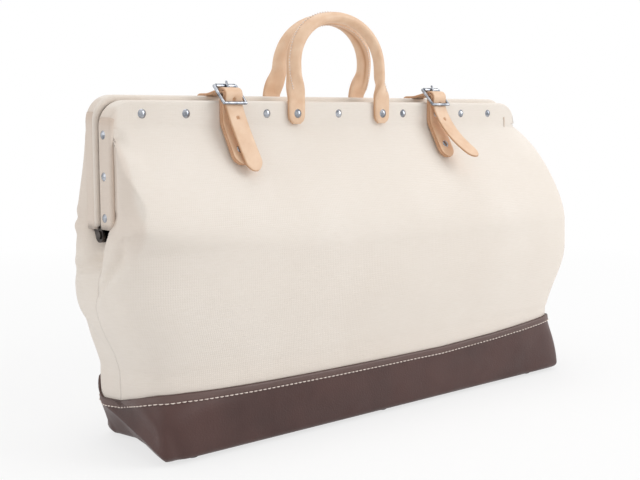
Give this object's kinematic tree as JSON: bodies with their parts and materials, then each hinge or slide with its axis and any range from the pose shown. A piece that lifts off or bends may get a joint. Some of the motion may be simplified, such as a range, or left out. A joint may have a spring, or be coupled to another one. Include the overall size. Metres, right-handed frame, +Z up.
{
  "type": "tool bag",
  "caption": "Long canvas tool bag with a stitched coated boot, a hinged riveted mouth frame, rolled leather handles and buckled closing straps.",
  "frame": {"origin": "middle of the footprint, on the surface that the feet stand on", "axes": "+X along the mouth, -Y towards the side with the buckles, +Z up"},
  "size_m": [0.6208, 0.1638, 0.42],
  "materials": {
    "boot": "coated cloth, satin",
    "canvas": "natural cotton duck, matte",
    "board": "fibreboard, raw",
    "black": "satin",
    "zinc": "zinc plate",
    "frame_steel": "plain",
    "nickel": "nickel plate, polished",
    "dark_steel": "blackened, satin",
    "leather": "undyed, satin",
    "rope": "twisted paper cord, matte",
    "chape_leather": "undyed, a little darker"
  },
  "bodies": {
    "bag": {"boot": "boot", "canvas_body": "canvas", "base_board": "board", "feet": "black", "foot_washers": "zinc", "front_canvas": "canvas", "rear_canvas": "canvas"},
    "front_half": {"front_rail": "frame_steel", "front_hem": "canvas", "front_rivets": "nickel", "front_lugs": "dark_steel", "front_tabs": "leather", "left_chape": "chape_leather", "right_chape": "chape_leather", "chape_rivets": "nickel"},
    "rear_half": {"rear_rail": "frame_steel", "rear_hem": "canvas", "rear_rivets": "nickel", "rear_lugs": "dark_steel", "hinge_pins": "dark_steel", "rear_tabs": "leather"},
    "front_handle": {"front_grip": "leather", "front_core": "rope"},
    "rear_handle": {"rear_grip": "leather", "rear_core": "rope"},
    "left_catch": {"left_buckle": "nickel"},
    "right_catch": {"right_buckle": "nickel"},
    "left_spool": {"left_roller": "nickel"},
    "right_spool": {"right_roller": "nickel"},
    "left_tongue": {"left_prong": "nickel"},
    "right_tongue": {"right_prong": "nickel"},
    "left_strap": {"left_billet": "leather"},
    "right_strap": {"right_billet": "leather"}
  },
  "joints": [
    {"name": "front_open", "type": "hinge", "parent": "bag", "child": "front_half", "pos_m": [-0.028, 0, 0.206], "axis": [1, 0, 0], "range_deg": [0, 45], "deforming": ["front_canvas"]},
    {"name": "rear_open", "type": "hinge", "parent": "bag", "child": "rear_half", "pos_m": [-0.028, 0, 0.206], "axis": [-1, 0, 0], "range_deg": [0, 45], "deforming": ["rear_canvas"]},
    {"name": "front_handle_fold", "type": "hinge", "parent": "front_half", "child": "front_handle", "pos_m": [-0.028, -0.0258, 0.332], "axis": [1, 0, 0], "range_deg": [0, 110]},
    {"name": "rear_handle_fold", "type": "hinge", "parent": "rear_half", "child": "rear_handle", "pos_m": [-0.028, 0.0198, 0.337], "axis": [-1, 0, 0], "range_deg": [0, 110]},
    {"name": "left_buckle_tilt", "type": "hinge", "parent": "front_half", "child": "left_catch", "pos_m": [-0.172, -0.0253, 0.334], "axis": [1, 0, 0], "range_deg": [-25, 30]},
    {"name": "left_roller_spin", "type": "hinge", "parent": "left_catch", "child": "left_spool", "pos_m": [-0.172, -0.01696, 0.34234], "axis": [1, 0, 0], "continuous": true},
    {"name": "left_prong_lift", "type": "hinge", "parent": "left_catch", "child": "left_tongue", "pos_m": [-0.172, -0.0253, 0.334], "axis": [1, 0, 0], "range_deg": [0, 80]},
    {"name": "left_strap_flip", "type": "hinge", "parent": "rear_half", "child": "left_strap", "pos_m": [-0.172, 0.0145, 0.333], "axis": [-1, 0, 0], "range_deg": [0, 150], "deforming": ["left_billet"]},
    {"name": "right_buckle_tilt", "type": "hinge", "parent": "front_half", "child": "right_catch", "pos_m": [0.116, -0.0253, 0.334], "axis": [1, 0, 0], "range_deg": [-25, 30]},
    {"name": "right_roller_spin", "type": "hinge", "parent": "right_catch", "child": "right_spool", "pos_m": [0.116, -0.01696, 0.34234], "axis": [1, 0, 0], "continuous": true},
    {"name": "right_prong_lift", "type": "hinge", "parent": "right_catch", "child": "right_tongue", "pos_m": [0.116, -0.0253, 0.334], "axis": [1, 0, 0], "range_deg": [0, 80]},
    {"name": "right_strap_flip", "type": "hinge", "parent": "rear_half", "child": "right_strap", "pos_m": [0.116, 0.0145, 0.333], "axis": [-1, 0, 0], "range_deg": [0, 150], "deforming": ["right_billet"]}
  ]
}
